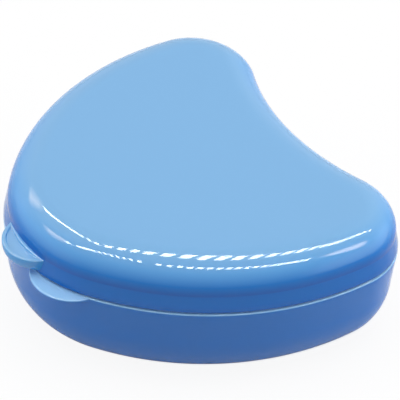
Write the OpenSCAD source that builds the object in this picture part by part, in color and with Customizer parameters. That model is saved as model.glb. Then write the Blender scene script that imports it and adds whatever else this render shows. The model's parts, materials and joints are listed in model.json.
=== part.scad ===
// Denture case: a bean-shaped bowl with a hinged lid and two thumb tabs at the front.
// Millimetres, +Z up, front towards -Y, lid closed. The origin is on the table, at mid depth.

/* [Case] */
// Width across the two lobes, at the top of the lid's skirt
case_w = 80; // [78:0.5:84]
// Height of the base from the table to its shoulder
base_h = 21.3; // [20.5:0.1:23]
// Height of the closed lid above that shoulder
lid_h = 10.8; // [10.4:0.1:13]
// Open seam between the base's shoulder and the lid's lower edge
seam_gap = 0.35; // [0.2:0.05:0.5]

/* [Outline] */
// Radius of the front, in plan
front_r = 27; // [25:0.5:29]
// Degrees that the front turns on each side of its middle
front_deg = 36.2; // [34:0.2:38]
// Degrees that each long side turns after it
side_deg = 57.9; // [56:0.1:60]
// Radius of the two rear lobes, in plan
lobe_r = 13.9; // [13.3:0.1:15]
// Degrees that each lobe turns into the hollow back
lobe_deg = 107.6; // [105:0.2:110]

/* [Rounding] */
// How far in from the side the lid's top starts to round
top_round = 7.8; // [6:0.1:8.5]
// Height of that rounding
top_drop = 6.6; // [5:0.1:7]
// How far the lid's skirt flares out at its lower edge
lip_o = 0.8; // [0.6:0.05:1]
// How far the base's shoulder stands outside the lid's side wall
rim_o = 0.75; // [0.5:0.05:0.8]
// Height of the bowl's rounding above the table
bowl_z = 13.7; // [11:0.1:15]
// How far in the bowl's rounding runs under the base
bowl_round = 12.2; // [9:0.1:12.4]

/* [Walls] */
// Lid wall
lid_wall = 1.6; // [1.4:0.1:1.9]
// Lid top
top_t = 1.7; // [1.4:0.1:2]
// Base floor
floor_t = 1.9; // [1.6:0.1:2.4]
// Height of the tongue that stands up inside the lid
tongue_h = 1.8; // [1.4:0.1:2]
// Thickness of that tongue at its root
tongue_w = 1.0; // [0.8:0.1:1.3]
// Clearance all round between the tongue and the lid
fit_gap = 0.2; // [0.15:0.05:0.3]

/* [Tabs] */
// How far the lid tab reaches out past the wall line
lid_tab_out = 4.0; // [3.2:0.1:4.4]
// Radius of the lid tab's edge
lid_tab_r = 8.0; // [7:0.1:9]
// How far the base tab reaches out past the wall line
base_tab_out = 3.9; // [3:0.1:4.6]
// Radius of the base tab's edge
base_tab_r = 8.7; // [7.7:0.1:9.7]
// Turn of the base tab from the middle of the front, in degrees
base_tab_deg = 22.5; // [21:0.5:26]

/* [Hinge] */
// Radius of the hinge pin
pin_r = 0.8; // [0.7:0.05:0.9]
// Radius of the knuckles round the pin
knuckle_r = 1.9; // [1.8:0.05:2]
// Width of the lid's hinge arm
arm_w = 7.8; // [6:0.1:9]
// Thickness of each of the base's two hinge ears
ear_t = 2.8; // [2.2:0.1:3.2]
// Side play between the arm and each ear
side_play = 0.2; // [0.15:0.05:0.3]
// Radial clearance of the pin in the arm, which turns on it
run_gap = 0.05; // [0.03:0.01:0.08]
// Radial clearance of the pin in the ears, which hold it
pin_seat = 0.01; // [0.01:0.01:0.02]

/* [Hidden] */
$fn = 48;

// The outline is a chain of arcs that meet smoothly: front, side, lobe and hollow back, each with
// a radius and the degrees that it turns. The side's radius follows from the case's width, and the
// back's from where the lobe ends. The other half is mirrored.
side_r = (case_w / 2 - front_r * sin(front_deg)) / (1 - sin(front_deg));
back_deg = front_deg + side_deg + lobe_deg - 180;
turn_1 = front_deg;
turn_2 = turn_1 + side_deg;
turn_3 = turn_2 + lobe_deg;

// A point on an arc that starts at point p with heading a and reaches heading h.
function arc_to(p, r, a, h) = [p[0] + r * (sin(h) - sin(a)), p[1] + r * (cos(a) - cos(h))];
far_0 = [0, 0];
far_1 = arc_to(far_0, front_r, 0, turn_1);
far_2 = arc_to(far_1, side_r, turn_1, turn_2);
far_3 = arc_to(far_2, lobe_r, turn_2, turn_3);
back_r = far_3[0] / sin(back_deg);
case_d = far_2[1] + lobe_r * (cos(turn_2) + 1);
front_0 = [0, -case_d / 2];
front_1 = front_0 + far_1;
front_2 = front_0 + far_2;
front_3 = front_0 + far_3;
back_y = front_3[1] - back_r * (1 - cos(back_deg));

// Stations [x, y, heading] along the right half, from the front to the middle of the back.
function run(p, r, a, h, n) = [for (i = [0:n - 1]) let (g = a + (h - a) * i / n) concat(arc_to(p, r, a, g), [g])];
half = concat(
    run(front_0, front_r, 0, turn_1, 6),
    run(front_1, side_r, turn_1, turn_2, 16),
    run(front_2, lobe_r, turn_2, turn_3, 14),
    run(front_3, -back_r, turn_3, 180, 6),
    [[0, back_y, 180]]);
last = len(half) - 1;
stations = concat(half, [for (i = [last - 1:-1:1]) [-half[i][0], half[i][1], -half[i][2]]]);
count = len(stations);

// A point at offset o outside the outline at station s, at height z.
function off_pt(s, o, z) = [s[0] + o * sin(s[2]), s[1] - o * cos(s[2]), z];

// Heights and offsets from the outline. Positive offsets are outside it.
case_h = base_h + lid_h;
skirt_top = case_h - top_drop;
lip_z = base_h + seam_gap;
lip_round = 0.45;
lip_rise = 0.6;
rebate_o = -0.45;
ledge_z = base_h + tongue_h + 0.1;
rim_round = 0.3;
tongue_o = rebate_o - fit_gap;
inside_o = tongue_o - tongue_w;
bowl_o = 0.11;
bowl_in = inside_o - 0.1;
floor_o = bowl_o - bowl_round;

// Each shell's wall is a list of [offset, height] swept round the outline. It starts at a flat
// middle that faces up and ends at a flat middle that faces down.
lid_profile = concat(
    [for (t = [0:7.5:90]) [-top_round + top_round * sin(t), skirt_top + top_drop * cos(t)]],
    [[0.03, skirt_top - 0.3], [0.12, skirt_top - 0.7]],
    [for (t = [0:22.5:90]) [lip_o - lip_round + lip_round * cos(t), lip_z + lip_rise - lip_rise * sin(t)]],
    [[rebate_o + 0.15, lip_z], [rebate_o, lip_z + 0.2], [rebate_o, ledge_z], [-lid_wall, ledge_z]],
    [for (t = [90:-11.25:0]) [
        -top_round + (top_round - lid_wall) * sin(t),
        skirt_top + (top_drop - top_t) * cos(t)]]);

base_profile = concat(
    [for (t = [0:9:90]) [floor_o + (bowl_in - floor_o) * sin(t), bowl_z - (bowl_z - floor_t) * cos(t)]],
    [[inside_o, base_h + tongue_h - 0.15], [inside_o + 0.15, base_h + tongue_h]],
    [[tongue_o - 0.3, base_h + tongue_h], [tongue_o - 0.07, base_h + tongue_h - 0.25]],
    [[tongue_o, base_h]],
    [for (t = [0:22.5:90]) [rim_o - rim_round + rim_round * sin(t), base_h - rim_round + rim_round * cos(t)]],
    [for (t = [0:7.5:90]) [floor_o + bowl_round * cos(t), bowl_z - bowl_z * sin(t)]]);

module shell(profile) {
    rings = len(profile);
    points = concat(
        [for (p = profile) for (s = stations) off_pt(s, p[0], p[1])],
        [[0, 0, profile[0][1]], [0, 0, profile[rings - 1][1]]]);
    top = rings * count;
    sides = [for (j = [0:rings - 2]) for (i = [0:count - 1])
        let (n = (i + 1) % count) [j * count + i, j * count + n, (j + 1) * count + n, (j + 1) * count + i]];
    caps = concat(
        [for (i = [0:count - 1]) [top, (i + 1) % count, i]],
        [for (i = [0:count - 1]) let (e = (rings - 1) * count) [top + 1, e + i, e + (i + 1) % count]]);
    polyhedron(points = points, faces = concat(sides, caps), convexity = 8);
}

// A thumb tab: part of a disc that stands out of the front arc at heading h. Each [d, z, w] of the
// section is d in from the edge towards the wall, or w out from the root inside the wall if w >= 0.
root_o = -0.2;
module tab(h, r, out, section) {
    hub = front_r + out - r;
    root = front_r + root_o;
    end = acos((root * root - hub * hub - r * r) / (2 * hub * r)) * 0.985;
    far = [r * sin(end), hub + r * cos(end)];
    spread = atan2(far[0], far[1]);
    n = 28;
    m = len(section);
    points = [for (i = [0:n]) let (
        t = 2 * i / n - 1,
        edge = [r * sin(end * t), hub + r * cos(end * t)],
        foot = root * [sin(spread * t), cos(spread * t)],
        way = foot - edge,
        w = norm(way),
        f = min(1, w / 3.4))
        for (q = section) let (p = q[2] < 0 ? edge + way * (q[0] * f / w) : foot - way * (q[2] * f / w))
            [p[0], p[1], q[1]]];
    skin = [for (i = [0:n - 1]) for (j = [0:m - 1]) let (g = (j + 1) % m, a = i * m, b = (i + 1) * m)
        each [[a + j, b + j, b + g], [a + j, b + g, a + g]]];
    ends = [[for (j = [0:m - 1]) j], [for (j = [m - 1:-1:0]) n * m + j]];
    // Local +Y is the way out, so it is turned to the case's front and then to heading h.
    translate([0, front_0[1] + front_r, 0]) rotate([0, 0, 180 + h])
        polyhedron(points = points, faces = concat(skin, ends), convexity = 4);
}

tab_low = lip_z + lip_rise;
tab_top = skirt_top - 0.4;
tab_swell = 0.7 * (tab_top - tab_low);
tab_under = 1.1;
pocket = 0.3;
lid_tab_section = concat(
    [[0, tab_low, 0]],
    [for (t = [90:-22.5:0]) [tab_under - tab_under * cos(t), tab_low + tab_swell - tab_swell * sin(t), -1]],
    [[0, tab_top - 0.35, -1], [0.1, tab_top - 0.1, -1], [0.35, tab_top, -1], [0.8, tab_top, -1],
    [1.05, tab_top - pocket, -1], [0, tab_top - pocket, 0.95], [0, tab_top, 0.7], [0, tab_top, 0]]);
lug_top = base_h - 0.15;
base_tab_section = [
    [0, lug_top - 1.7, 0], [0.6, lug_top - 1.0, -1], [0.15, lug_top - 0.8, -1], [0, lug_top - 0.5, -1],
    [0.15, lug_top - 0.15, -1], [0.5, lug_top, -1], [0, lug_top, 0]];

// Hinge: the axis is half way up the case, so that the lid lies flat on the table when it is open.
axis_y = case_d / 2 + lip_o + 0.55;
axis_z = case_h / 2;
ear_x = arm_w / 2 + side_play;
pin_len = 2 * (ear_x + ear_t) - 0.2;

// The arm runs down from the lid's hollow back, on a straight line that touches the knuckle.
arm_slope = 1.2;
arm_n = [arm_slope, 1] / norm([arm_slope, 1]);
arm_t = 2.4;
arm_hit = [axis_y, axis_z] + knuckle_r * arm_n;
arm_in = arm_hit - arm_t * arm_n;
function arm_y(p, z) = p[0] - (z - p[1]) / arm_slope;
module lid_arm() {
    top = skirt_top + 0.1;
    low = tab_low;
    rotate([90, 0, 90]) translate([0, 0, -arm_w / 2]) linear_extrude(arm_w) polygon([
        [back_y - 0.3, low], [arm_y(arm_in, low), low], arm_in, arm_hit,
        [arm_y(arm_hit, top), top], [back_y - 0.3, top]]);
}

module along_x(r, l) {
    translate([-l / 2, axis_y, axis_z]) rotate([0, 90, 0]) cylinder(r = r, h = l);
}

// An ear reaches back from the base's hollow back. The web under it touches the knuckle too.
module ear(x) {
    foot_y = back_y - 1.3;
    low = [axis_y + 0.6 * knuckle_r, axis_z - 0.8 * knuckle_r];
    translate([x, 0, 0]) rotate([90, 0, 90]) linear_extrude(ear_t) polygon([
        [foot_y, axis_z + knuckle_r], [axis_y, axis_z + knuckle_r], [axis_y, axis_z],
        low, [foot_y, low[1] - 0.75 * (low[0] - foot_y)]]);
    translate([x, axis_y, axis_z]) rotate([0, 90, 0]) cylinder(r = knuckle_r, h = ear_t);
}

module base_shell() {
    color([0.25, 0.46, 0.76]) difference() {
        union() {
            shell(base_profile);
            tab(base_tab_deg, base_tab_r, base_tab_out, base_tab_section);
            ear(ear_x);
            ear(-ear_x - ear_t);
        }
        along_x(pin_r + pin_seat, pin_len + 4);
    }
}

module lid_shell() {
    color([0.42, 0.66, 0.9]) difference() {
        union() {
            shell(lid_profile);
            tab(0, lid_tab_r, lid_tab_out, lid_tab_section);
            lid_arm();
            along_x(knuckle_r, arm_w);
        }
        along_x(pin_r + run_gap, arm_w + 4);
    }
}

module hinge_pin() {
    color([0.8, 0.81, 0.82]) along_x(pin_r, pin_len);
}

base_shell();
lid_shell();
hinge_pin();
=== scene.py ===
"""Denture case: two glossy shells swept round one bean-shaped outline, their tabs, and the hinge."""
import json
import math

import bmesh
import bpy
import numpy as np
from mathutils import Matrix, Vector


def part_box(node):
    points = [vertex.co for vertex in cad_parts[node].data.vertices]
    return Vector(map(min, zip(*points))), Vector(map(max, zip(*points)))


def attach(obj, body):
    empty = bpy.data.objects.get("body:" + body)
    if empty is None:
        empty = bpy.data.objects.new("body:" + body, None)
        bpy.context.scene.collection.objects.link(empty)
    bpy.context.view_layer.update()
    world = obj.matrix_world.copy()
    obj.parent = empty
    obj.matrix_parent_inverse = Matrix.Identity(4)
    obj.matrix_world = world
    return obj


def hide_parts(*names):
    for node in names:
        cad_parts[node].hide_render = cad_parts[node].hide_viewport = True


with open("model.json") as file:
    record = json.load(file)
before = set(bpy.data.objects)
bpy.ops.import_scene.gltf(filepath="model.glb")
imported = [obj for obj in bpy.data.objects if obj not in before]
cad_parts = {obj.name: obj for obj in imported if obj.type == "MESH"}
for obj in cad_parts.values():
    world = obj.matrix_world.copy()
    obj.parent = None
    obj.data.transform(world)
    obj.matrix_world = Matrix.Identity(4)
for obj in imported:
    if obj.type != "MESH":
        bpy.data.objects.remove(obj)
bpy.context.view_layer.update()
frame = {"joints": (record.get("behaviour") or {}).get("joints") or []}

# Sizes in millimetres. The front of the case faces -Y, and offsets are measured outwards from the outline.

MM = 0.001

# The outline: a front arc, a side arc and a lobe arc on each side, and one hollow arc at the back
CASE_W = 80.0
FRONT_R, FRONT_DEG = 27.0, 36.2
SIDE_DEG = 57.9
LOBE_R, LOBE_DEG = 13.9, 107.6
STATION_STEP = 0.75

# The lid: the rounded edge of its flat top, the lip where its skirt ends, and the rebate for the tongue
CASE_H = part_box("lid_shell")[1].z / MM
TOP_ROUND, TOP_DROP = 7.8, 6.6
SKIRT_DROP, LIP_OUT, REBATE = 0.05, 0.8, -0.45
LID_WALL, TOP_T = 1.6, 1.7

# The base: its bowl, the shoulder under the seam, the tongue that stands up inside the lid, and the foot
BASE_H, SEAM = 21.3, 0.35
RIM_OUT = 0.75
BOWL_Z, BOWL_ROUND, BOWL_OUT = 13.7, 12.2, 0.11
FLOOR_T = 1.9
TONGUE_H, TONGUE_IN, TONGUE_OUT, TONGUE_PLAY = 1.8, -1.65, -0.65, 0.1
FOOT_W, FOOT_DEPTH, FOOT_FIELD = 0.8, 0.3, 0.2

# How far the bowl and the tongue lean, how far flat faces are crowned, and the radii of small corners
BOWL_DRAFT, TONGUE_DRAFT = 0.1, 0.07
TOP_CROWN, CEILING_CROWN, UNDER_CROWN = 0.1, 0.05, 0.05
SKIRT_TURN, LIP_TURN, REBATE_TURN, REBATE_TOP_TURN, CEILING_TURN = 1.2, 0.42, 0.14, 0.15, 0.3
TONGUE_TURN, LEDGE_TURN, RIM_TURN, FOOT_TURN = 0.3, 0.12, 0.3, 0.15

# How finely the shells are drawn, and how close a point lies to a place that is looked for
CAP_RINGS, LONGEST_STEP, NEAR = 12, 1.4, 0.3

# The tabs are parts of discs. They start a little inside the front, and end just short of the points
# where the disc meets it. Where a tab is less than its full width, its profile shrinks.
TAB_ROOT, TAB_TIP, TAB_FULL_W = -0.2, 0.99, 3.5
TAB_EDGE, TAB_STATIONS = 0.35, 96

# The lid's tab: its height over the lip and under the skirt's top, its belly, its pocket, whose slopes lie
# between two distances from the tab's edge and from its root, and the fillet at its root
LID_TAB_OUT, LID_TAB_R = 4.0, 7.2
OVER_LIP, UNDER_SKIRT = 0.6, 0.4
BELLY_IN, BELLY_H = 1.1, 2.0
POCKET_DEPTH, POCKET_FROM_EDGE, POCKET_FROM_ROOT = 0.3, (0.78, 1.0), (0.66, 0.86)
ROOT_FLAT, ROOT_FILLET = 0.28, 0.36

# The base's tab: how far its top lies under the shoulder, how thick its root is, the bends of its
# underside [in from the edge, under the top], its nose, and where its top falls from the shoulder
BASE_TAB_OUT, BASE_TAB_R, BASE_TAB_DEG = 3.9, 8.7, 22.5
BASE_TAB_DROP, BASE_TAB_T, BASE_TAB_BENDS = 0.15, 1.7, ((1.4, 1.2), (0.5, 0.95))
NOSE_IN, NOSE_H, NOSE_UNDER = 0.28, 0.36, 0.5
SHOULDER_FILM, SHOULDER_FALL = 0.005, (0.6, 1.6)

# Where the top of a tab has its corners, in from its edge and out from its root
FROM_EDGE = np.concatenate([np.linspace(0.42, 0.72, 4), np.linspace(0.76, 1.02, 9),
                            np.linspace(1.2, 2.3, 5)])
FROM_ROOT = np.concatenate([np.linspace(1.1, 0.95, 3), np.linspace(0.88, 0.64, 8),
                            np.linspace(0.6, 0, 11)])

# The hinge: an arm on the lid, two ears on the base, and a pin through them. The arm's slanted back
# bends twice at its upper end, where it meets the skirt.
PIN_LOW, PIN_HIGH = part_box("hinge_pin")
AXIS_Y, AXIS_Z = (place / MM for place in frame["joints"][0]["pos_m"][1:])
PIN_HALF = PIN_HIGH.x / MM
PIN_R = (PIN_HIGH.z - PIN_LOW.z) / MM / 2
PIN_CHAMFER, PIN_SIDES, BORE_SIDES = 0.15, 40, 48
KNUCKLE_R, SIDE_PLAY, PLATE_EDGE = 1.9, 0.2, 0.18
ARM_W, ARM_T, ARM_SLOPE, ARM_ROOT, ARM_PLAY = 7.8, 2.4, 1.2, 0.3, 0.05
ARM_UP, ARM_SHOULDER, ARM_BEND_IN, ARM_BEND_UP = 0.1, 0.5, 0.35, 0.15
EAR_T, EAR_DEG, EAR_ROOT, EAR_PLAY = 2.8, 53.13, 1.3, 0.01


# Shapes shared by the shells

def along_arc(start, radius, from_deg, to_deg):
    """The point where an arc has turned from one heading to another. A negative radius turns right."""
    first, last = math.radians(from_deg), math.radians(to_deg)
    return start + radius * np.array([math.sin(last) - math.sin(first), math.cos(first) - math.cos(last)])


def outline():
    """Stations [x, y, heading in degrees] round the case at the top of the skirt, about a step apart.
    They start at the middle of the front, and the headings turn left."""
    front_sine = math.sin(math.radians(FRONT_DEG))
    side_r = (CASE_W / 2 - FRONT_R * front_sine) / (1 - front_sine)
    corner, heading, half = np.zeros(2), 0.0, []
    for radius, turn in ((FRONT_R, FRONT_DEG), (side_r, SIDE_DEG), (LOBE_R, LOBE_DEG)):
        count = max(2, round(radius * math.radians(turn) / STATION_STEP))
        for i in range(count):
            toward = heading + turn * i / count
            half.append((*along_arc(corner, radius, heading, toward), toward))
        far_y = along_arc(corner, radius, heading, 180)[1]
        corner = along_arc(corner, radius, heading, heading + turn)
        heading += turn
    # The loop ends on the lobe, so far_y is now where the lobe reaches furthest back.
    back_r = corner[0] / math.sin(math.radians(heading - 180))
    count = max(2, round(back_r * math.radians(heading - 180) / STATION_STEP))
    for i in range(count + 1):
        toward = heading + (180 - heading) * i / count
        half.append((*along_arc(corner, -back_r, heading, toward), toward))
    half = np.array(half)
    half[:, 1] -= far_y / 2
    half[-1, 0] = 0
    other = half[-2:0:-1] * [-1, 1, -1]
    return np.vstack([half, other])


STATIONS = outline()
FRONT_Y = STATIONS[0, 1]
BACK_Y = STATIONS[len(STATIONS) // 2, 1]


def rounded(corners, steps=5):
    """A line through [offset, height, radius] corners, each turned with its radius as far as it fits."""
    nearly_straight, longest_share = math.radians(89.5), 0.49
    points = [np.array(corner[:2], float) for corner in corners]
    line = [points[0]]
    for before, point, after, corner in zip(points, points[1:], points[2:], corners[1:]):
        back, ahead = before - point, after - point
        back_length, ahead_length = np.linalg.norm(back), np.linalg.norm(ahead)
        back, ahead = back / back_length, ahead / ahead_length
        half = math.acos(max(-1, min(1, float(back @ ahead)))) / 2
        if corner[2] <= 0 or half > nearly_straight:
            line.append(point)
            continue
        cut = min(corner[2] / math.tan(half), longest_share * back_length, longest_share * ahead_length)
        radius = cut * math.tan(half)
        middle = back + ahead
        centre = point + middle / np.linalg.norm(middle) * (radius / math.sin(half))
        start, end = point + back * cut - centre, point + ahead * cut - centre
        sweep = math.atan2(start[0] * end[1] - start[1] * end[0], float(start @ end))
        for turn in sweep * np.arange(steps + 1) / steps:
            across = start[0] * math.cos(turn) - start[1] * math.sin(turn)
            up = start[0] * math.sin(turn) + start[1] * math.cos(turn)
            line.append(centre + [across, up])
    line.append(points[-1])
    return line


def ellipse(centre, half_w, half_h, start, end, count):
    """Points on an ellipse. An angle of 0 points outwards and 90 points up."""
    across, up = centre
    turns = np.radians(np.linspace(start, end, count))
    return [np.array([across + half_w * math.cos(t), up + half_h * math.sin(t)]) for t in turns]


def densify(points):
    """The same line with no step longer than the longest one allowed."""
    line = [points[0]]
    for start, end in zip(points, points[1:]):
        count = max(1, math.ceil(np.linalg.norm(end - start) / LONGEST_STEP))
        line += [start + (end - start) * k / count for k in range(1, count + 1)]
    return line


def flat_cap(edge, crown, inside):
    """The rings of a flat face, from its middle to just short of its edge. The crown lifts the middle."""
    shares = np.arange(CAP_RINGS) / CAP_RINGS
    return [(edge[0], edge[1] + crown * (1 - share ** 2) ** 2, share, inside) for share in shares]


def capped(wall, inside, first_crown, last_crown):
    """The rings [offset, height, share of the way out, inside] of a shell, from one flat middle round
    its wall to the other. Inside is 1 where the shell is matt and 0 where it is polished."""
    rings = flat_cap(wall[0], first_crown, inside[0])
    rings += [(*point, 1.0, held) for point, held in zip(wall, inside)]
    rings += flat_cap(wall[-1], last_crown, inside[-1])[::-1]
    return np.array(rings, float)


def lid_rings():
    """From the middle of the lid's top over the skirt and the rebate to the middle of its ceiling."""
    skirt_top, lip_z = CASE_H - TOP_DROP, BASE_H + SEAM
    rebate_top = BASE_H + TONGUE_H + TONGUE_PLAY
    top = ellipse((-TOP_ROUND, skirt_top), TOP_ROUND, TOP_DROP, 90, 0, count=26)
    skirt = rounded([(0, skirt_top, 0), (0, skirt_top - SKIRT_DROP, SKIRT_TURN),
                     (LIP_OUT, lip_z, LIP_TURN), (REBATE, lip_z, REBATE_TURN),
                     (REBATE, rebate_top, REBATE_TOP_TURN), (-LID_WALL, rebate_top, CEILING_TURN),
                     (-LID_WALL, skirt_top, 0)])
    ceiling = ellipse((-TOP_ROUND, skirt_top), TOP_ROUND - LID_WALL, TOP_DROP - TOP_T, 0, 90, count=18)
    wall = densify(top + skirt[1:-1] + ceiling)
    matt_from = next(k for k, (offset, height) in enumerate(wall)
                     if abs(offset - REBATE) < NEAR and height < lip_z + NEAR)
    return capped(wall, [k >= matt_from for k in range(len(wall))], TOP_CROWN, CEILING_CROWN)


def base_rings():
    """From the middle of the bowl over the tongue and the shoulder to the middle of the underside."""
    floor_edge, tongue_top = BOWL_OUT - BOWL_ROUND, BASE_H + TONGUE_H
    bowl_in = TONGUE_IN - BOWL_DRAFT
    bowl = ellipse((floor_edge, BOWL_Z), bowl_in - floor_edge, BOWL_Z - FLOOR_T, -90, 0, count=20)
    rim = rounded([(bowl_in, BOWL_Z, 0), (TONGUE_IN, tongue_top, TONGUE_TURN),
                   (TONGUE_OUT - TONGUE_DRAFT, tongue_top, TONGUE_TURN), (TONGUE_OUT, BASE_H, LEDGE_TURN),
                   (RIM_OUT, BASE_H, RIM_TURN), (BOWL_OUT, BOWL_Z, 0)])
    outer = ellipse((floor_edge, BOWL_Z), BOWL_ROUND, BOWL_Z, 0, -90, count=30)
    # The case stands on a narrow ring, and the field inside it lies a little higher.
    foot_in = floor_edge - FOOT_W
    field_edge = foot_in - FOOT_DEPTH
    foot = rounded([(floor_edge, 0, 0), (foot_in, 0, FOOT_TURN), (field_edge, FOOT_DEPTH, FOOT_TURN),
                    (field_edge - FOOT_FIELD, FOOT_DEPTH, 0)], steps=3)
    wall = densify(bowl + rim[1:-1] + outer + foot[1:])
    polished_from = next(k for k, (offset, height) in enumerate(wall)
                         if offset > TONGUE_OUT - NEAR and height > BASE_H)
    return capped(wall, [k < polished_from for k in range(len(wall))], 0.0, UNDER_CROWN)


# Nodes, for the sweep and for the materials

class Nodes:
    """Fills a node tree."""

    def __init__(self, tree):
        self.tree = tree

    def add(self, kind, settings=None, **sockets):
        """Adds a node of any type: first its settings, then what goes into its sockets. A socket is
        called by its name with _ for each blank, or by _ and its number. A node gives its first output."""
        node = self.tree.nodes.new(kind)
        for key, value in (settings or {}).items():
            if key == "ramp":
                self.fill_ramp(node.color_ramp, value)
            else:
                setattr(node, key, value)
        for key, value in sockets.items():
            numbered = key[0] == "_" and key[1:].isdigit()
            socket = node.inputs[int(key[1:]) if numbered else key.replace("_", " ")]
            if isinstance(value, Value):
                value = value.socket
            if isinstance(value, bpy.types.Node):
                value = value.outputs[0]
            if isinstance(value, bpy.types.NodeSocket):
                self.tree.links.new(value, socket)
            else:
                socket.default_value = value
        return node

    def fill_ramp(self, ramp, stops):
        """Gives a colour ramp its stops (position, colour)."""
        while len(ramp.elements) < len(stops):
            ramp.elements.new(0.5)
        for element, (position, colour) in zip(ramp.elements, stops):
            element.position = position
            element.color = colour

    def value(self, kind, settings=None, out=0, **sockets):
        """Adds a node and takes one of its outputs into sums."""
        return Value(self, self.add(kind, settings, **sockets).outputs[out])

    def colour_mix(self, share, first, second):
        """The first colour where the share is 0, and the second where it is 1."""
        mix = self.add("ShaderNodeMix", {"data_type": "RGBA"}, Factor=share, _6=first, _7=second)
        return mix.outputs[2]


class Value:
    """A socket that takes part in sums. Each operator adds the Math node that works it out."""

    def __init__(self, nodes, socket):
        self.nodes = nodes
        self.socket = socket

    def math_node(self, operation, first, second=None, clamp=False):
        """The result of a Math node on one or two values or numbers."""
        sockets = {"_0": first} if second is None else {"_0": first, "_1": second}
        return self.nodes.value("ShaderNodeMath", {"operation": operation, "use_clamp": clamp}, **sockets)

    def __add__(self, other):
        return self.math_node("ADD", self, other)

    def __radd__(self, other):
        return self.math_node("ADD", other, self)

    def __sub__(self, other):
        return self.math_node("SUBTRACT", self, other)

    def __rsub__(self, other):
        return self.math_node("SUBTRACT", other, self)

    def __mul__(self, other):
        return self.math_node("MULTIPLY", self, other)

    def __rmul__(self, other):
        return self.math_node("MULTIPLY", other, self)

    def __mod__(self, other):
        return self.math_node("MODULO", self, other)

    def __rmod__(self, other):
        return self.math_node("MODULO", other, self)

    def floor(self):
        return self.math_node("FLOOR", self)

    def clamped(self):
        return self.math_node("ADD", self, 0.0, clamp=True)

    def or_more(self, other):
        return self.math_node("MAXIMUM", self, other)


# The sweep, as Geometry Nodes

def sweep_tree():
    """A shell swept round an outline. The outline's points carry the way out, and each point of the
    profile holds an offset, a height and how far from the middle it lies: 0 is the middle itself."""
    tree = bpy.data.node_groups.new("shell_sweep", "GeometryNodeTree")
    inputs = {"Outline": "Object", "Stations": "Int", "Profile": "Object", "Rings": "Int",
              "Material": "Material"}
    for name, kind in inputs.items():
        tree.interface.new_socket(name, in_out="INPUT", socket_type="NodeSocket" + kind)
    tree.interface.new_socket("Geometry", in_out="OUTPUT", socket_type="NodeSocketGeometry")
    nodes = Nodes(tree)
    given = nodes.add("NodeGroupInput").outputs
    stations, rings = Value(nodes, given["Stations"]), Value(nodes, given["Rings"])

    # The grid has a column of corners for each station, one more to close it, and a row for each ring.
    grid = nodes.add("GeometryNodeMeshGrid", Vertices_X=stations + 1, Vertices_Y=rings,
                     Size_X=stations, Size_Y=rings - 1)
    position = nodes.add("GeometryNodeInputPosition")
    place = nodes.add("ShaderNodeSeparateXYZ", Vector=position)
    column = (Value(nodes, place.outputs[0]) + stations * 0.5 + 0.5).floor() % stations
    row = (Value(nodes, place.outputs[1]) + (rings - 1) * 0.5 + 0.5).floor()

    def sample(source, index, kind, value):
        """What the point with that index holds, on the object of an input."""
        points = nodes.add("GeometryNodeObjectInfo", Object=given[source]).outputs["Geometry"]
        return nodes.add("GeometryNodeSampleIndex", {"data_type": kind, "domain": "POINT"},
                         Geometry=points, Value=value, Index=index)

    way_out = nodes.add("GeometryNodeInputNamedAttribute", {"data_type": "FLOAT_VECTOR"}, Name="way_out")
    inside = nodes.add("GeometryNodeInputNamedAttribute", {"data_type": "FLOAT"}, Name="inside")
    station = sample("Outline", column, "FLOAT_VECTOR", position)
    outwards = sample("Outline", column, "FLOAT_VECTOR", way_out)
    ring = nodes.add("ShaderNodeSeparateXYZ", Vector=sample("Profile", row, "FLOAT_VECTOR", position))
    held = sample("Profile", row, "FLOAT", inside)
    offset = nodes.add("ShaderNodeVectorMath", {"operation": "SCALE"}, _0=outwards, Scale=ring.outputs[0])
    wall = nodes.add("ShaderNodeVectorMath", {"operation": "ADD"}, _0=station, _1=offset)
    drawn_in = nodes.add("ShaderNodeVectorMath", {"operation": "SCALE"}, _0=wall, Scale=ring.outputs[2])
    height = nodes.add("ShaderNodeCombineXYZ", Z=ring.outputs[1])
    final = nodes.add("ShaderNodeVectorMath", {"operation": "ADD"}, _0=drawn_in, _1=height)

    stored = nodes.add("GeometryNodeStoreNamedAttribute", {"data_type": "FLOAT", "domain": "POINT"},
                       Geometry=grid, Name="inside", Value=held)
    moved = nodes.add("GeometryNodeSetPosition", Geometry=stored, Position=final)
    closed = nodes.add("GeometryNodeMergeByDistance", Geometry=moved, Distance=1e-7)
    turned = nodes.add("GeometryNodeFlipFaces", Mesh=closed)
    smooth = nodes.add("GeometryNodeSetShadeSmooth", Geometry=turned)
    real = nodes.add("GeometryNodeRealizeInstances", Geometry=smooth)
    dressed = nodes.add("GeometryNodeSetMaterial", Geometry=real, Material=given["Material"])
    nodes.add("NodeGroupOutput", Geometry=dressed)
    return tree


# Meshes

def in_scene(name, data):
    """A new object with the data, linked into the scene."""
    thing = bpy.data.objects.new(name, data)
    bpy.context.scene.collection.objects.link(thing)
    return thing


def new_mesh_object(name, corners, faces=()):
    mesh = bpy.data.meshes.new(name)
    mesh.from_pydata([tuple(corner) for corner in corners], [], [list(face) for face in faces])
    return in_scene(name, mesh)


def made_plain(name, holder):
    """A plain mesh object with what a holder's modifier or curve makes. The holder goes."""
    graph = bpy.context.evaluated_depsgraph_get()
    mesh = bpy.data.meshes.new_from_object(holder.evaluated_get(graph), depsgraph=graph)
    mesh.name = name
    bpy.data.objects.remove(holder)
    return in_scene(name, mesh)


def store(thing, name, kind, domain, values):
    """Keeps values on the points or the face corners of a mesh."""
    kept = thing.data.attributes.new(name, kind, domain)
    field = "vector" if kind == "FLOAT_VECTOR" else "value"
    kept.data.foreach_set(field, np.ravel(values).astype(np.float32))


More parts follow.
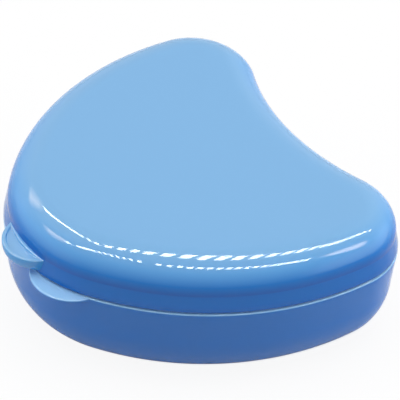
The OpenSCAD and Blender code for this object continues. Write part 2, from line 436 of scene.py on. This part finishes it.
def grid_faces(rows, columns, closed=False):
    """Faces between the corners of a grid, which are listed row by row. A closed grid joins its last
    column to its first."""
    count = columns if closed else columns - 1
    return [(i * columns + j, (i + 1) * columns + j, (i + 1) * columns + (j + 1) % columns,
             i * columns + (j + 1) % columns) for i in range(rows - 1) for j in range(count)]


def swept_shell(name, rings, material, tree):
    """One shell as a plain mesh at the origin."""
    path = new_mesh_object("path", [(x * MM, y * MM, 0) for x, y, _ in STATIONS])
    headings = np.radians(STATIONS[:, 2])
    ways_out = np.column_stack([np.sin(headings), -np.cos(headings), np.zeros(len(headings))])
    store(path, "way_out", "FLOAT_VECTOR", "POINT", ways_out)
    profile = new_mesh_object("profile", rings[:, :3] * [MM, MM, 1])
    store(profile, "inside", "FLOAT", "POINT", rings[:, 3])
    holder = new_mesh_object("holder", [])
    sweep = holder.modifiers.new("sweep", "NODES")
    sweep.node_group = tree
    identifiers = {socket.name: socket.identifier for socket in tree.interface.items_tree}
    inputs = {"Outline": path, "Stations": len(STATIONS), "Profile": profile, "Rings": len(rings),
              "Material": material}
    for key, value in inputs.items():
        sweep[identifiers[key]] = value
    shell = made_plain(name, holder)
    bpy.data.objects.remove(path)
    bpy.data.objects.remove(profile)
    return shell


def keep_painted_light_facing(thing):
    """Stores how far each corner of the mesh faces up at rest, from -1 to 1, for the painted light and
    shade in the plastic's colour.
    """
    store(thing, "faces_up", "FLOAT", "CORNER", [normal.vector.z for normal in thing.data.corner_normals])


def finish_mesh(thing, material, smooth_deg):
    """Merges doubles, turns every face outwards, and shades the piece smooth but for its sharp edges."""
    made = bmesh.new()
    made.from_mesh(thing.data)
    bmesh.ops.remove_doubles(made, verts=made.verts, dist=1e-6)
    bmesh.ops.recalc_face_normals(made, faces=made.faces)
    for face in made.faces:
        face.smooth = True
    for edge in made.edges:
        edge.smooth = len(edge.link_faces) == 2 and edge.calc_face_angle() < math.radians(smooth_deg)
    made.to_mesh(thing.data)
    made.free()
    thing.data.materials.clear()
    thing.data.materials.append(material)
    return thing


# Tabs

def thumb_tab(name, turn_deg, radius, out, root_z, side, upper, material):
    """Part of a disc that stands out of the front. It is cut by lines from the edge to the disc's hub.
    The side gives [distance in from the edge, height] from the underside up to the top's edge, and root_z
    is the underside's height at the root. Upper gives the top's height for a distance from the edge and
    one from the root."""
    hub, root = FRONT_R + out - radius, FRONT_R + TAB_ROOT
    end = TAB_TIP * math.acos((root * root - hub * hub - radius * radius) / (2 * hub * radius))
    turn = math.radians(turn_deg)
    points = []
    for angle in np.linspace(-end, end, TAB_STATIONS + 1):
        width = radius + hub * math.cos(angle) - math.sqrt(root ** 2 - (hub * math.sin(angle)) ** 2)
        squeeze = min(1.0, width / TAB_FULL_W)
        line = [(width, root_z)] + [(depth * squeeze, z) for depth, z in side]
        for depth in np.concatenate([FROM_EDGE * squeeze, width - FROM_ROOT * squeeze]):
            line.append((depth, upper(depth, width - depth)))
        for depth, z in line:
            x = -(radius - depth) * math.sin(angle)
            y = -(radius - depth) * math.cos(angle) - hub
            across = x * math.cos(turn) - y * math.sin(turn)
            along = x * math.sin(turn) + y * math.cos(turn) + FRONT_Y + FRONT_R
            points.append((across * MM, along * MM, z * MM))
    count = len(line)
    faces = grid_faces(TAB_STATIONS + 1, count, closed=True)
    faces += [range(count), range(len(points) - 1, len(points) - 1 - count, -1)]
    return finish_mesh(new_mesh_object(name, points, faces), material, smooth_deg=60)


def ease(value, low, high):
    """0 under low, 1 over high, and smooth between them."""
    share = min(1.0, max(0.0, (value - low) / (high - low)))
    return share * share * (3 - 2 * share)


def fillet(distance, reach):
    """How far a fillet of that reach has risen at a distance from the wall."""
    return reach - math.sqrt(reach ** 2 - min(reach, max(0.0, reach - distance)) ** 2)


def tab_edge(top):
    """The rounded edge of a tab, up to its top."""
    return ellipse((TAB_EDGE, top - TAB_EDGE), TAB_EDGE, TAB_EDGE, 180, 90, count=8)


def lid_thumb_tab(material):
    """The lid's tab: a rounded belly, a thin raised edge, and a shallow crescent pocket for the thumb."""
    low, top = BASE_H + SEAM + OVER_LIP, CASE_H - TOP_DROP - UNDER_SKIRT
    belly = ellipse((BELLY_IN, low + BELLY_H), BELLY_IN, BELLY_H, 270, 180, count=12)

    def upper(from_edge, from_root):
        sunk = ease(from_edge, *POCKET_FROM_EDGE) * ease(from_root, *POCKET_FROM_ROOT)
        return top - POCKET_DEPTH * sunk + fillet(from_root - ROOT_FLAT, ROOT_FILLET)

    return thumb_tab("lid_tab", 0, LID_TAB_R, LID_TAB_OUT, low, belly + tab_edge(top), upper, material)


def base_thumb_tab(material):
    """The base's tab: flat on top, with a thin rounded edge and an underside that slopes to the wall."""
    top, shoulder = BASE_H - BASE_TAB_DROP, BASE_H - SHOULDER_FILM
    under = [(depth, top - drop) for depth, drop in BASE_TAB_BENDS]
    under.append((NOSE_IN, top - NOSE_UNDER - NOSE_H))
    nose = ellipse((NOSE_IN, top - NOSE_UNDER), NOSE_IN, NOSE_H, 250, 180, count=5)

    def upper(from_edge, from_root):
        fallen = ease(from_root, *SHOULDER_FALL) * ease(from_edge, 0, TAB_EDGE)
        return shoulder - (shoulder - top) * fallen

    return thumb_tab("base_tab", BASE_TAB_DEG, BASE_TAB_R, BASE_TAB_OUT, top - BASE_TAB_T,
                     under + nose + tab_edge(top), upper, material)


# Hinge

def arc_round_pin(radius, start, end, count):
    """Points (y, z) on an arc round the hinge's axis."""
    return [tuple(point) for point in ellipse((AXIS_Y, AXIS_Z), radius, radius, start, end, count)]


def ring_round_pin(radius, sides):
    """Points (y, z) on a whole circle round the hinge's axis."""
    return arc_round_pin(radius, 0, 360, sides + 1)[:-1]


def pressed_plate(name, outer, bore, x_from, x_to, material):
    """A plate across X: an outline in (y, z) with a bore for the pin, and rounded edges."""
    curve = bpy.data.curves.new(name, "CURVE")
    curve.dimensions = "2D"
    curve.fill_mode = "BOTH"
    curve.extrude = ((x_to - x_from) / 2 - PLATE_EDGE) * MM
    curve.bevel_depth = PLATE_EDGE * MM
    curve.offset = -PLATE_EDGE * MM
    curve.bevel_resolution = 3
    for loop in (outer, ring_round_pin(bore, BORE_SIDES)):
        spline = curve.splines.new("POLY")
        spline.points.add(len(loop) - 1)
        for point, (y, z) in zip(spline.points, loop):
            point.co = (y * MM, z * MM, 0, 1)
        spline.use_cyclic_u = True
    plate = made_plain(name, in_scene(name + "_curve", curve))
    # The curve lies in its own X and Y, which become the case's Y and Z.
    middle = (x_from + x_to) / 2 * MM
    plate.data.transform(Matrix(((0, 0, 1, middle), (1, 0, 0, 0), (0, 1, 0, 0), (0, 0, 0, 1))))
    return finish_mesh(plate, material, smooth_deg=40)


def lid_arm(material):
    """The lid's arm: a slanted plate from the back of the lid down to a knuckle round the pin."""
    normal = np.array([ARM_SLOPE, 1]) / math.hypot(ARM_SLOPE, 1)
    touch = np.array([AXIS_Y, AXIS_Z]) + KNUCKLE_R * normal
    under = touch - ARM_T * normal
    root, low, top = BACK_Y - ARM_ROOT, BASE_H + SEAM + OVER_LIP, CASE_H - TOP_DROP + ARM_UP

    def slanted(point, z):
        """Where the slanted line through a point reaches a height."""
        return point[0] - (z - point[1]) / ARM_SLOPE, z

    lean = math.degrees(math.atan2(normal[1], normal[0]))
    # The line that the arm's inner face lies on meets the knuckle's circle again under the pin.
    lower = lean - 180 + math.degrees(math.acos((ARM_T - KNUCKLE_R) / KNUCKLE_R))
    line = [(root, low), slanted(under, low)] + arc_round_pin(KNUCKLE_R, lower, lean, count=26)
    line.append(slanted(touch, top - ARM_SHOULDER))
    line.append((slanted(touch, top)[0] - ARM_BEND_IN, top + ARM_BEND_UP))
    line.append((root, top + ARM_SHOULDER))
    return pressed_plate("lid_hinge_arm", line, PIN_R + ARM_PLAY, -ARM_W / 2, ARM_W / 2, material)


def base_ear(name, x, material):
    """One of the base's ears: a bracket that rises from the hollow back to the pin."""
    root, slope = BACK_Y - EAR_ROOT, 1 / math.tan(math.radians(EAR_DEG))
    rim = arc_round_pin(KNUCKLE_R, 90, -EAR_DEG, count=22)
    low_y, low_z = rim[-1]
    line = [(root, AXIS_Z + KNUCKLE_R)] + rim + [(root, low_z - slope * (low_y - root))]
    return pressed_plate(name, line, PIN_R + EAR_PLAY, x, x + EAR_T, material)


def hinge_pin(material):
    """A drawn steel pin with chamfered ends, on the CAD pin's axis."""
    end, shank = PIN_R - PIN_CHAMFER, PIN_HALF - PIN_CHAMFER
    profile = [(0, -PIN_HALF), (end, -PIN_HALF), (PIN_R, -shank), (PIN_R, 0), (PIN_R, shank),
               (end, PIN_HALF), (0, PIN_HALF)]
    points = []
    for radius, x in profile:
        points += [(x * MM, y * MM, z * MM) for y, z in ring_round_pin(radius, PIN_SIDES)]
    faces = grid_faces(len(profile), PIN_SIDES, closed=True)
    return finish_mesh(new_mesh_object("hinge_pin_turned", points, faces), material, smooth_deg=30)


# Materials

def blank_material(name):
    """A material with an empty tree, and what fills the tree."""
    made = bpy.data.materials.new(name)
    made.use_nodes = True
    made.node_tree.nodes.clear()
    return made, Nodes(made.node_tree)


def moulded_plastic(name, lit_and_shaded_tints, gloss):
    """Glossy polypropylene with painted light and shade: faces turned up are painted paler and walls
    deeper, by how far each faces up at rest.
    The outside is polished, and the inside is as matt as the core of the mould."""
    made, nodes = blank_material(name)
    place = nodes.add("ShaderNodeTexCoord").outputs["Object"]
    inside = nodes.value("ShaderNodeAttribute", {"attribute_name": "inside"}, out="Fac")
    faces_up = nodes.value("ShaderNodeAttribute", {"attribute_name": "faces_up"}, out="Fac")
    cloud = nodes.value("ShaderNodeTexNoise", Vector=place, Scale=45.0, Detail=3.0)
    grain = nodes.value("ShaderNodeTexNoise", Vector=place, Scale=2600.0, Detail=2.0)
    ripple = nodes.value("ShaderNodeTexNoise", Vector=place, Scale=150.0, Detail=1.0)
    # Painted light and shade: the colour ramp follows how far the surface faces up, paler on top and
    # deeper on the walls.
    painted_shade_tone = (faces_up + (cloud - 0.5) * CLOUD_TINT).clamped()
    stops = [(position, (*tint, 1)) for position, tint in zip(PAINTED_LIGHT_STOPS, lit_and_shaded_tints)]
    body = nodes.add("ShaderNodeValToRGB", {"ramp": stops}, Fac=painted_shade_tone)
    colour = nodes.colour_mix(inside, body, (*INSIDE_TINT, 1))
    rough = ROUGH_OUTSIDE + (cloud - 0.5) * CLOUD_ROUGH + inside * ROUGH_INSIDE
    bump = nodes.add("ShaderNodeBump", Strength=0.06, Distance=0.0002,
                     Height=ripple * RIPPLE_HEIGHT + grain * inside * GRAIN_HEIGHT)
    shader = nodes.add("ShaderNodeBsdfPrincipled", Base_Color=colour, Roughness=rough, Normal=bump,
                       IOR=1.49, Specular_IOR_Level=gloss)
    nodes.add("ShaderNodeOutputMaterial", Surface=shader)
    return made


def drawn_steel():
    """Drawn wire: fine lines round the pin."""
    made, nodes = blank_material("drawn_steel")
    place = nodes.add("ShaderNodeTexCoord").outputs["Object"]
    stretched = nodes.add("ShaderNodeMapping", Vector=place, Scale=(60, 4000, 4000))
    lines = nodes.value("ShaderNodeTexNoise", Vector=stretched, Scale=1.0, Detail=3.0)
    tint = nodes.colour_mix(lines, (0.52, 0.53, 0.55, 1), (0.7, 0.71, 0.73, 1))
    bump = nodes.add("ShaderNodeBump", Strength=0.25, Distance=0.00005, Height=lines)
    shader = nodes.add("ShaderNodeBsdfPrincipled", Base_Color=tint, Roughness=0.24 + lines * 0.18,
                       Normal=bump, Metallic=1.0)
    nodes.add("ShaderNodeOutputMaterial", Surface=shader)
    return made


# Painted light and shade: colours of the plastic where it faces sideways, a little up, mostly up, and
# straight up, paler the more it faces up.
# The lid's tab is painted paler than the lid to offset the shade of the skirt above it, and the base's
# up-facing shoulder is painted paler to light it in the lid's shade.
PAINTED_LIGHT_STOPS = (0.05, 0.35, 0.70, 0.95)
LID_LIT_AND_SHADED_TINTS = ((0.0, 0.112, 0.475), (0.001, 0.181, 0.607), (0.1, 0.352, 0.735), (0.197, 0.441, 0.742))
TAB_LIT_AND_SHADED_TINTS = ((0.02, 0.29, 0.71), (0.05, 0.32, 0.69), (0.11, 0.38, 0.72), (0.19, 0.455, 0.755))
BASE_LIT_AND_SHADED_TINTS = ((0.012, 0.165, 0.567), (0.16, 0.42, 0.78), (0.36, 0.66, 0.93), (0.39, 0.70, 0.95))
LUG_LIT_AND_SHADED_TINTS = ((0.014, 0.167, 0.567), (0.13, 0.37, 0.76), (0.29, 0.55, 0.87), (0.32, 0.585, 0.88))
INSIDE_TINT = (0.10, 0.33, 0.72)
CLOUD_TINT, CLOUD_ROUGH = 0.04, 0.02
ROUGH_OUTSIDE, ROUGH_INSIDE = 0.03, 0.35
RIPPLE_HEIGHT, GRAIN_HEIGHT = 0.12, 0.5
GLOSS, TAB_GLOSS = 0.4, 1.0
lid_plastic = moulded_plastic("lid_polypropylene", LID_LIT_AND_SHADED_TINTS, GLOSS)
tab_plastic = moulded_plastic("lid_tab_polypropylene", TAB_LIT_AND_SHADED_TINTS, TAB_GLOSS)
base_plastic = moulded_plastic("base_polypropylene", BASE_LIT_AND_SHADED_TINTS, GLOSS)
lug_plastic = moulded_plastic("base_tab_polypropylene", LUG_LIT_AND_SHADED_TINTS, GLOSS)
steel = drawn_steel()

# Pieces

sweep = sweep_tree()
lid = swept_shell("lid_skin", lid_rings(), lid_plastic, sweep)
base = swept_shell("base_skin", base_rings(), base_plastic, sweep)
lid_tab = lid_thumb_tab(tab_plastic)
base_tab = base_thumb_tab(lug_plastic)
arm = lid_arm(lid_plastic)
ear_x = ARM_W / 2 + SIDE_PLAY
ears = [base_ear("base_ear_right", ear_x, lug_plastic),
        base_ear("base_ear_left", -ear_x - EAR_T, lug_plastic)]
pin = hinge_pin(steel)

# Each piece keeps its facing at rest, which drives the painted light and shade in its colour.
for piece in (lid, lid_tab, arm, base, base_tab, *ears):
    keep_painted_light_facing(piece)
for piece in (lid, lid_tab, arm):
    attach(piece, "lid")
for piece in (base, base_tab, *ears):
    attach(piece, "base")
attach(pin, "base")
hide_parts("lid_shell")
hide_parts("base_shell")
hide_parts("hinge_pin")


# Floor and light, in metres

WHITE = (1, 1, 1, 1)
FLOOR_REACH, FLOOR_Z = 3, -0.00002
TO_THE_RIGHT = np.array([0.53, 0.848])
LAMP_Z = 1.2
ALONG, ACROSS = np.array([0.629, 0.777]), np.array([0.777, -0.629])
WARM = (1.0, 0.8, 0.62)
SOFT_PLACES, SOFT_ENDS = 25, 0.25


def stage_floor(bounce, shadow_share):
    """A white sweep. What the camera sees is mostly plain white, gloss and glass see it lit and shaded,
    and the rest of the light meets a grey, so that the walls of the case keep their depth."""
    ends = (-FLOOR_REACH, FLOOR_REACH)
    floor = new_mesh_object("floor", [(x, y, FLOOR_Z) for x in ends for y in ends], [(0, 2, 3, 1)])
    made, nodes = blank_material("studio_white")
    ray = nodes.add("ShaderNodeLightPath")
    mirrored = Value(nodes, ray.outputs["Is Glossy Ray"]).or_more(ray.outputs["Is Transmission Ray"])
    lit = nodes.add("ShaderNodeBsdfDiffuse", Color=(0.95, 0.95, 0.95, 1))
    glow = nodes.add("ShaderNodeEmission", Color=WHITE, Strength=1.0)
    shown = nodes.add("ShaderNodeMixShader", _0=shadow_share, _1=glow, _2=lit)
    grey = nodes.add("ShaderNodeBsdfDiffuse", Color=(bounce, bounce, bounce, 1))
    unseen = nodes.add("ShaderNodeMixShader", _0=mirrored, _1=grey, _2=lit)
    both = nodes.add("ShaderNodeMixShader", _0=ray.outputs["Is Camera Ray"], _1=unseen, _2=shown)
    nodes.add("ShaderNodeOutputMaterial", Surface=both)
    floor.data.materials.append(made)


def world_light(level):
    """A soft light from all round. The camera, gloss and glass see it as white."""
    world = bpy.data.worlds.new("studio")
    bpy.context.scene.world = world
    world.use_nodes = True
    world.node_tree.nodes.clear()
    nodes = Nodes(world.node_tree)
    ray = nodes.add("ShaderNodeLightPath")
    mirrored = Value(nodes, ray.outputs["Is Glossy Ray"]).or_more(ray.outputs["Is Transmission Ray"])
    seen = mirrored.or_more(ray.outputs["Is Camera Ray"])
    soft = nodes.add("ShaderNodeBackground", Color=WHITE, Strength=level)
    white = nodes.add("ShaderNodeBackground", Color=WHITE, Strength=1.0)
    both = nodes.add("ShaderNodeMixShader", _0=seen, _1=soft, _2=white)
    nodes.add("ShaderNodeOutputWorld", Surface=both)


def softbox(name, place, aim, width, depth, watts):
    """A soft lamp that no gloss mirrors."""
    lamp = bpy.data.lights.new(name, "AREA")
    lamp.shape = "RECTANGLE"
    lamp.size = width
    lamp.size_y = depth
    lamp.energy = watts
    thing = in_scene(name, lamp)
    thing.location = place
    thing.rotation_mode = "QUATERNION"
    thing.rotation_quaternion = (Vector(aim) - Vector(place)).to_track_quat("-Z", "Y")
    thing.visible_glossy = False


def gloss_only(name, corners, faces, level, colour=(1, 1, 1), fade=None):
    """Bright faces that only gloss shows. The fade is each corner's share of the light, from 0 to 1."""
    panel = new_mesh_object(name, corners, faces)
    made, nodes = blank_material(name + "_glow")
    light = nodes.add("ShaderNodeEmission", Color=(*colour, 1), Strength=level)
    if fade is not None:
        store(panel, "share", "FLOAT", "POINT", fade)
        share = nodes.value("ShaderNodeAttribute", {"attribute_name": "share"}, out="Fac")
        clear = nodes.add("ShaderNodeBsdfTransparent")
        light = nodes.add("ShaderNodeMixShader", _0=share, _1=clear, _2=light)
    nodes.add("ShaderNodeOutputMaterial", Surface=light)
    panel.data.materials.append(made)
    panel.visible_camera = False
    panel.visible_diffuse = False
    panel.visible_shadow = False
    panel.visible_transmission = False


def side_panel(name, toward, width, high, level, soft):
    """An upright bright panel a metre to one side, which the edges of the case mirror. Its light fades
    out over the soft width at both ends and over the same height at the top."""
    out = np.array(toward) / np.hypot(*toward)
    beside = np.array([-out[1], out[0]])
    rows, columns = 9, 17
    corners, fade = [], []
    for z in np.linspace(0, high, rows):
        for reach in np.linspace(-width / 2, width / 2, columns):
            corners.append((*(out + beside * reach), z))
            fade.append(min(1.0, (width / 2 - abs(reach)) / soft) * min(1.0, (high - z) / soft))
    gloss_only(name, corners, grid_faces(rows, columns), level, fade=fade)


def over_case(along, across):
    """A point in the plane of the lamps, given in the rows' own two directions."""
    return (*(ALONG * along + ACROSS * across), LAMP_Z)


def lamp_row(name, level, path, pitch, lit, width, lean, dark):
    """A row of bright chips over the case. Only gloss shows it, as the dashes of light on the rounding.
    The path gives each bend as (along, across). The pitch, the share of it that shines, the width and the
    lean of a chip are pairs (along, value) with straight lines between them. No chip starts in a dark
    stretch, given as (along, along)."""
    path = np.array(path)
    marks = np.concatenate([[0], np.cumsum(np.hypot(*np.diff(path, axis=0).T))])

    def on_path(mark):
        return [np.interp(mark, marks, path[:, k]) for k in (0, 1)]

    corners, faces, start = [], [], 0.0
    while start < marks[-1]:
        along, across = on_path(start)
        chip = (np.interp(along, *zip(*pairs)) for pairs in (pitch, lit, width, lean))
        chip_pitch, share, wide, slant = chip
        end_along, end_across = on_path(start + chip_pitch * share)
        start += chip_pitch
        if any(low < along < high for low, high in dark):
            continue
        near, far = -wide / 2, wide / 2
        corners += [over_case(along + slant * near, across + near),
                    over_case(end_along + slant * near, end_across + near),
                    over_case(end_along + slant * far, end_across + far),
                    over_case(along + slant * far, across + far)]
        faces.append(range(len(corners) - 4, len(corners)))
    gloss_only(name, corners, faces, level)


def soft_patch(name, level, path, width, slant, profile):
    """A soft warm light over the case, where a row of chips ends. The path gives bends as (along, across),
    and the width is given at its two ends. The profile is (reach, share of the light) from edge to edge.
    The light fades in over the first part of the path and out over the last."""
    path = np.array(path)
    bends = np.linspace(0, 1, len(path))
    places = np.linspace(0, 1, SOFT_PLACES)
    corners, fade = [], []
    for place in places:
        along, across = (np.interp(place, bends, path[:, k]) for k in (0, 1))
        wide = np.interp(place, (0, 1), width)
        for reach, share in profile:
            corners.append(over_case(along + slant * reach * wide, across + reach * wide))
            fade.append(share * min(1.0, place / SOFT_ENDS, (1 - place) / SOFT_ENDS))
    gloss_only(name, corners, grid_faces(len(places), len(profile)), level, WARM, fade)


stage_floor(bounce=0.6, shadow_share=0.09)
world_light(level=0.22)
softbox("overhead_softbox", (0, 0, 1.4), aim=(0, 0, 0), width=1.6, depth=1.6, watts=17)
softbox("left_softbox", (*-TO_THE_RIGHT, 0.25), aim=(0, 0, 0.02), width=1.2, depth=0.4, watts=5)
softbox("right_softbox", (*TO_THE_RIGHT, 0.25), aim=(0, 0, 0.02), width=1.2, depth=0.4, watts=7)
side_panel("right_panel", (0.66, 0.75), width=1.8, high=0.75, level=2.6, soft=0.4)
side_panel("left_panel", -TO_THE_RIGHT, width=2.0, high=0.8, level=1.6, soft=0.4)
lamp_row("chip_row_near", level=28,
         path=[(-0.99, 0.29), (-0.90, 0.37), (-0.48, 0.385), (-0.28, 0.42), (-0.15, 0.48), (0.3, 0.50),
               (0.55, 0.47), (0.88, 0.42)],
         pitch=[(-0.29, 0.037), (-0.28, 0.057)],
         lit=[(-0.52, 1.0), (-0.50, 0.48), (-0.15, 0.5), (0.0, 0.62), (0.4, 0.62), (0.6, 0.8)],
         width=[(-0.5, 0.12), (0.0, 0.14)],
         lean=[(-0.5, -0.18), (0.0, 0.0), (0.8, 0.4)],
         dark=[(-0.89, -0.78), (-0.195, -0.15)])
lamp_row("chip_row_far", level=28,
         path=[(-0.80, -0.72), (-0.54, -0.49), (-0.40, -0.2), (-0.33, -0.06), (-0.2, -0.14),
               (-0.04, -0.21), (0.15, -0.13), (0.67, -0.15), (1.2, -0.5)],
         pitch=[(-0.42, 0.11), (-0.34, 0.075), (-0.2, 0.05), (-0.19, 0.065)],
         lit=[(-0.5, 1.0), (-0.46, 0.62), (-0.34, 0.62), (-0.3, 0.6), (0.45, 0.6), (0.5, 0.9)],
         width=[(-0.4, 0.10), (-0.2, 0.17), (0.03, 0.30), (0.25, 0.18), (0.5, 0.11), (1.0, 0.09)],
         lean=[(-0.25, -0.2), (0.25, 0.2)],
         dark=[(0.94, 1.0)])
soft_patch("soft_near_left", level=11, path=[(-1.6, -0.03), (-1.2, 0.27), (-0.93, 0.38)],
           width=(0.5, 0.2), slant=-1.0, profile=[(-0.5, 0.0), (-0.3, 1.0), (0.5, 0.0)])
soft_patch("soft_far_left", level=7.5, path=[(-1.6, -1.14), (-0.8, -0.66)],
           width=(0.5, 0.3), slant=-1.5, profile=[(-0.5, 0.0), (0.0, 1.0), (0.5, 0.0)])
soft_patch("soft_near_right", level=13, path=[(0.97, 0.43), (1.35, 0.36), (1.9, 0.25)],
           width=(0.14, 0.55), slant=1.2, profile=[(-0.5, 0.0), (-0.2, 1.0), (0.2, 1.0), (0.5, 0.0)])

# Camera: its axes and its place in metres, where the photograph was taken from

CAMERA_RIGHT, CAMERA_UP = (0.53041, 0.84664, 0.04288), (-0.56705, 0.31673, 0.76035)
CAMERA_BACK = (0.63017, -0.42762, 0.64809)
CAMERA_PLACE = (0.336634, -0.221391, 0.365004)
LENS, SENSOR_W = 230.94, 36

camera_data = bpy.data.cameras.new("camera")
camera_data.lens = LENS
camera_data.sensor_width = SENSOR_W
camera = in_scene("camera", camera_data)
axes = Matrix((CAMERA_RIGHT, CAMERA_UP, CAMERA_BACK)).transposed().to_4x4()
camera.matrix_world = Matrix.Translation(CAMERA_PLACE) @ axes
bpy.context.scene.camera = camera
bpy.context.scene.view_settings.view_transform = "Standard"
